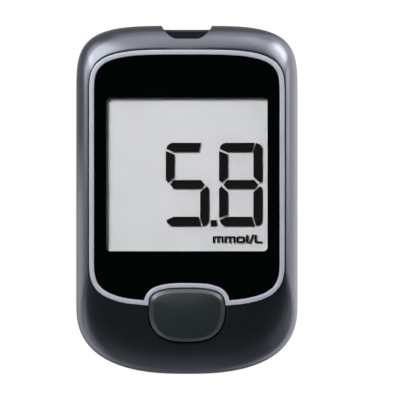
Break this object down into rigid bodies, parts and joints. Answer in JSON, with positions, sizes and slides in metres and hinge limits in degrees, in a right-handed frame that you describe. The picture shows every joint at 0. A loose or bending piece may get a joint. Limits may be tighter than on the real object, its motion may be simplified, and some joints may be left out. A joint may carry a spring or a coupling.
{
  "type": "blood glucose meter",
  "caption": "Pocket blood glucose meter with a domed case, a segment display behind a dark lens, a large sprung key, a strip port at the top end and a sliding battery door.",
  "frame": {"origin": "centre of the back face, on the surface that the meter lies on", "axes": "+Z out of the display, +Y along the case towards the strip port, +X to the reader's right"},
  "size_m": [0.047, 0.074, 0.0154],
  "materials": {
    "shell_front": "gloss metallic gunmetal paint on plastic",
    "shell_rear": "fine spark-eroded texture",
    "trim": "satin silver paint",
    "lens": "clear gloss acrylic",
    "mask": "black print behind the lens",
    "adhesive": "translucent adhesive sheet",
    "foam": "fine black foam",
    "film": "matt polarising film",
    "display_glass": "clear display glass",
    "seal": "cured sealant",
    "segments": "dark driven segments",
    "reflector": "grey diffuse reflector",
    "holder": "moulded white plastic",
    "zebra": "striped conductive rubber",
    "board": "green solder mask over glass fibre",
    "chips": "black moulded chip packages",
    "can_metal": "plain can",
    "small_parts": "ceramic with tinned ends",
    "gold": "gold plating",
    "port": "dark moulded plastic",
    "connector": "natural moulded plastic",
    "key": "soft-touch coating",
    "silicone": "grey silicone",
    "carbon": "carbon-loaded silicone",
    "cell_steel": "satin stainless steel",
    "cell_ring": "moulded sealing ring",
    "contact_metal": "nickel-plated spring sheet",
    "screw_steel": "black-zinc steel",
    "label": "blank silver label"
  },
  "bodies": {
    "case": {"rear_housing": "shell_rear", "front_housing": "shell_front", "rating_label": "label", "trim_ring": "trim", "window_lens": "lens", "window_mask": "mask", "lens_adhesive": "adhesive", "lcd_gasket": "foam", "lcd_polariser": "film", "lcd_front_glass": "display_glass", "lcd_seal": "seal", "lcd_segments": "segments", "lcd_unit_sign": "segments", "lcd_rear_glass": "display_glass", "lcd_reflector": "reflector", "lcd_holder": "holder", "zebra_strip": "zebra", "main_board": "board", "microcontroller": "chips", "amplifier_chip": "chips", "memory_chip": "chips", "crystal": "can_metal", "buzzer": "chips", "chip_parts": "small_parts", "temperature_sensor": "chips", "key_contacts": "gold", "strip_port_guide": "port", "strip_connector": "connector", "strip_contacts": "gold", "key_pad": "silicone", "cell_can": "cell_steel", "cell_seal": "cell_ring", "cell_cap": "cell_steel", "positive_contact": "contact_metal", "negative_contact": "contact_metal", "case_screws": "screw_steel", "board_screws": "screw_steel"},
    "door": {"battery_door": "shell_rear"},
    "key": {"main_button": "key", "carbon_pill": "carbon"}
  },
  "joints": [
    {"name": "key_press", "type": "slide", "parent": "case", "child": "key", "axis": [0, 0, -1], "range_m": [0, 0.0009], "stiffness_N_per_m": 1500, "springref_m": -0.0003, "deforming": ["key_pad"]},
    {"name": "battery_door_slide", "type": "slide", "parent": "case", "child": "door", "axis": [0, -1, 0], "range_m": [0, 0.032]}
  ]
}
